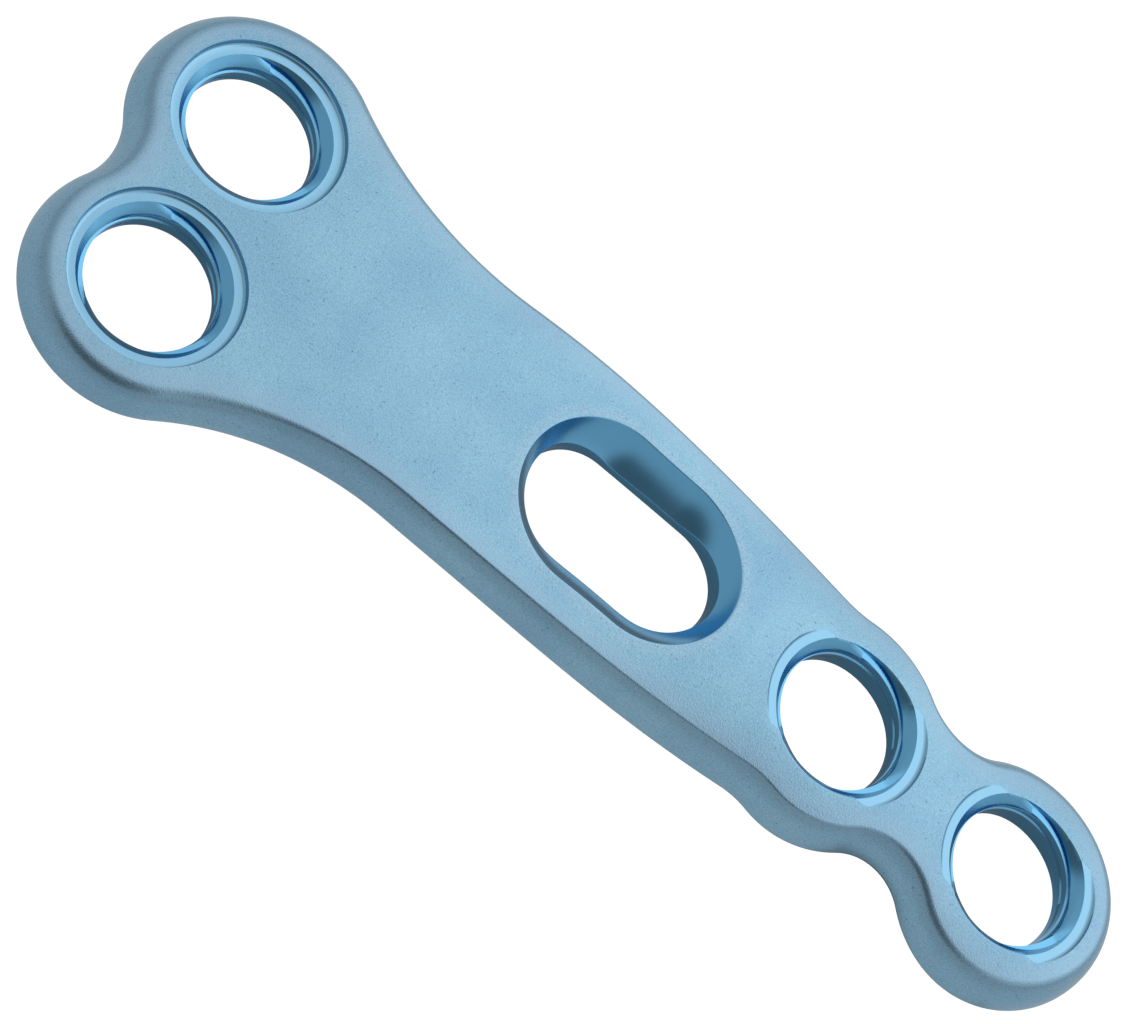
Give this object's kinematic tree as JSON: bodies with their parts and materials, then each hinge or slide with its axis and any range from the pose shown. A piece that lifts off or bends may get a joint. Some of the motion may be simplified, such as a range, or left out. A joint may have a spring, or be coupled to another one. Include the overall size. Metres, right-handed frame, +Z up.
{
  "type": "bone plate",
  "caption": "Small Y-shaped bone plate with a two-lobed head, a slotted shaft and round tapered screw holes, light blue anodised titanium.",
  "frame": {"origin": "half way along the plate on its middle line, in the plane that the plate rests on", "axes": "+X along the plate from the two-lobed head to the round tail, +Y across it, +Z up, out of the top face"},
  "size_m": [0.0306, 0.0112, 0.0022],
  "materials": {
    "anodised_titanium": "light blue anodised titanium, bead blasted"
  },
  "bodies": {
    "root": {"bone_plate": "anodised_titanium"}
  },
  "joints": []
}
